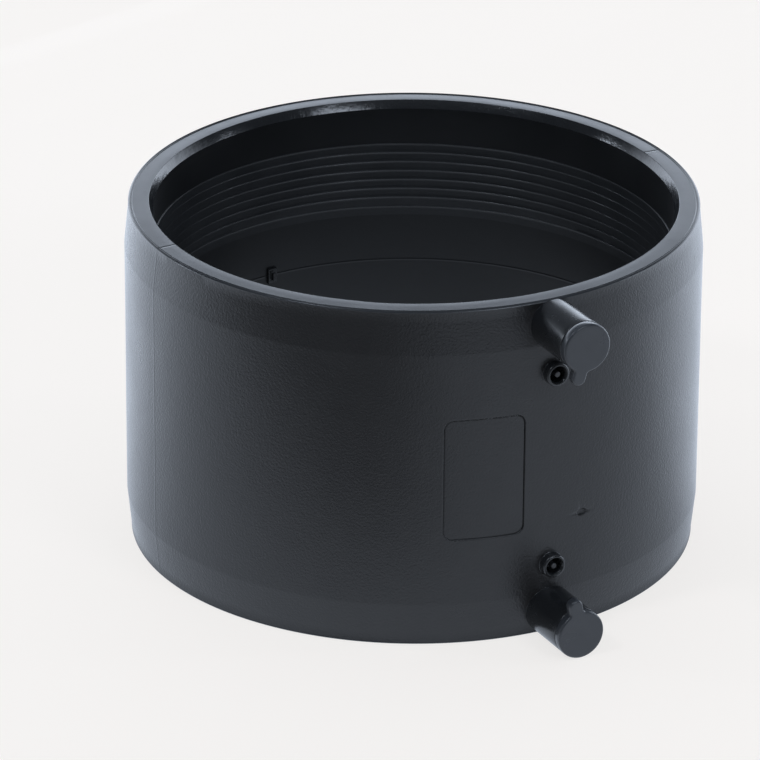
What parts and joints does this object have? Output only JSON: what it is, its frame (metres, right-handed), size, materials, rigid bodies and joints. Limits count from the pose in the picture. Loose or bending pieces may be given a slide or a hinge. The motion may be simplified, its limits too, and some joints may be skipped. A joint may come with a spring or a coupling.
{
  "type": "electrofusion coupler",
  "caption": "Black polyethylene electrofusion coupler: short pipe sleeve with a heating winding in each socket, capped terminals and rising fusion indicators.",
  "frame": {"origin": "on the pipe axis at the lower end face", "axes": "+Z along the pipe axis from the lower socket to the upper one; the two terminals face -Y, so Y is the longest extent and Z the shortest"},
  "size_m": [0.226, 0.2508, 0.1386],
  "materials": {
    "body_polyethylene": "fine spark-eroded mould texture, black",
    "winding_polyethylene": "smooth wire-carrying polyethylene with a folded lip over each turn, black",
    "terminal_brass": "turned, plain",
    "cap_polyethylene": "smooth moulded, black",
    "indicator_polyethylene": "smooth moulded, black"
  },
  "bodies": {
    "body": {"coupler_body": "body_polyethylene", "winding_upper": "winding_polyethylene", "winding_lower": "winding_polyethylene", "terminal_pin_upper": "terminal_brass", "terminal_pin_lower": "terminal_brass"},
    "cap_upper": {"terminal_cap_upper": "cap_polyethylene"},
    "cap_lower": {"terminal_cap_lower": "cap_polyethylene"},
    "riser_upper": {"indicator_pin_upper": "indicator_polyethylene"},
    "riser_lower": {"indicator_pin_lower": "indicator_polyethylene"}
  },
  "joints": [
    {"name": "cap_pull_upper", "type": "slide", "parent": "body", "child": "cap_upper", "axis": [0, -1, 0], "range_m": [0, 0.005]},
    {"name": "cap_pull_lower", "type": "slide", "parent": "body", "child": "cap_lower", "axis": [0, -1, 0], "range_m": [0, 0.005]},
    {"name": "indicator_rise_upper", "type": "slide", "parent": "body", "child": "riser_upper", "axis": [0, -1, 0], "range_m": [0, 0.003]},
    {"name": "indicator_rise_lower", "type": "slide", "parent": "body", "child": "riser_lower", "axis": [0, -1, 0], "range_m": [0, 0.003]}
  ]
}
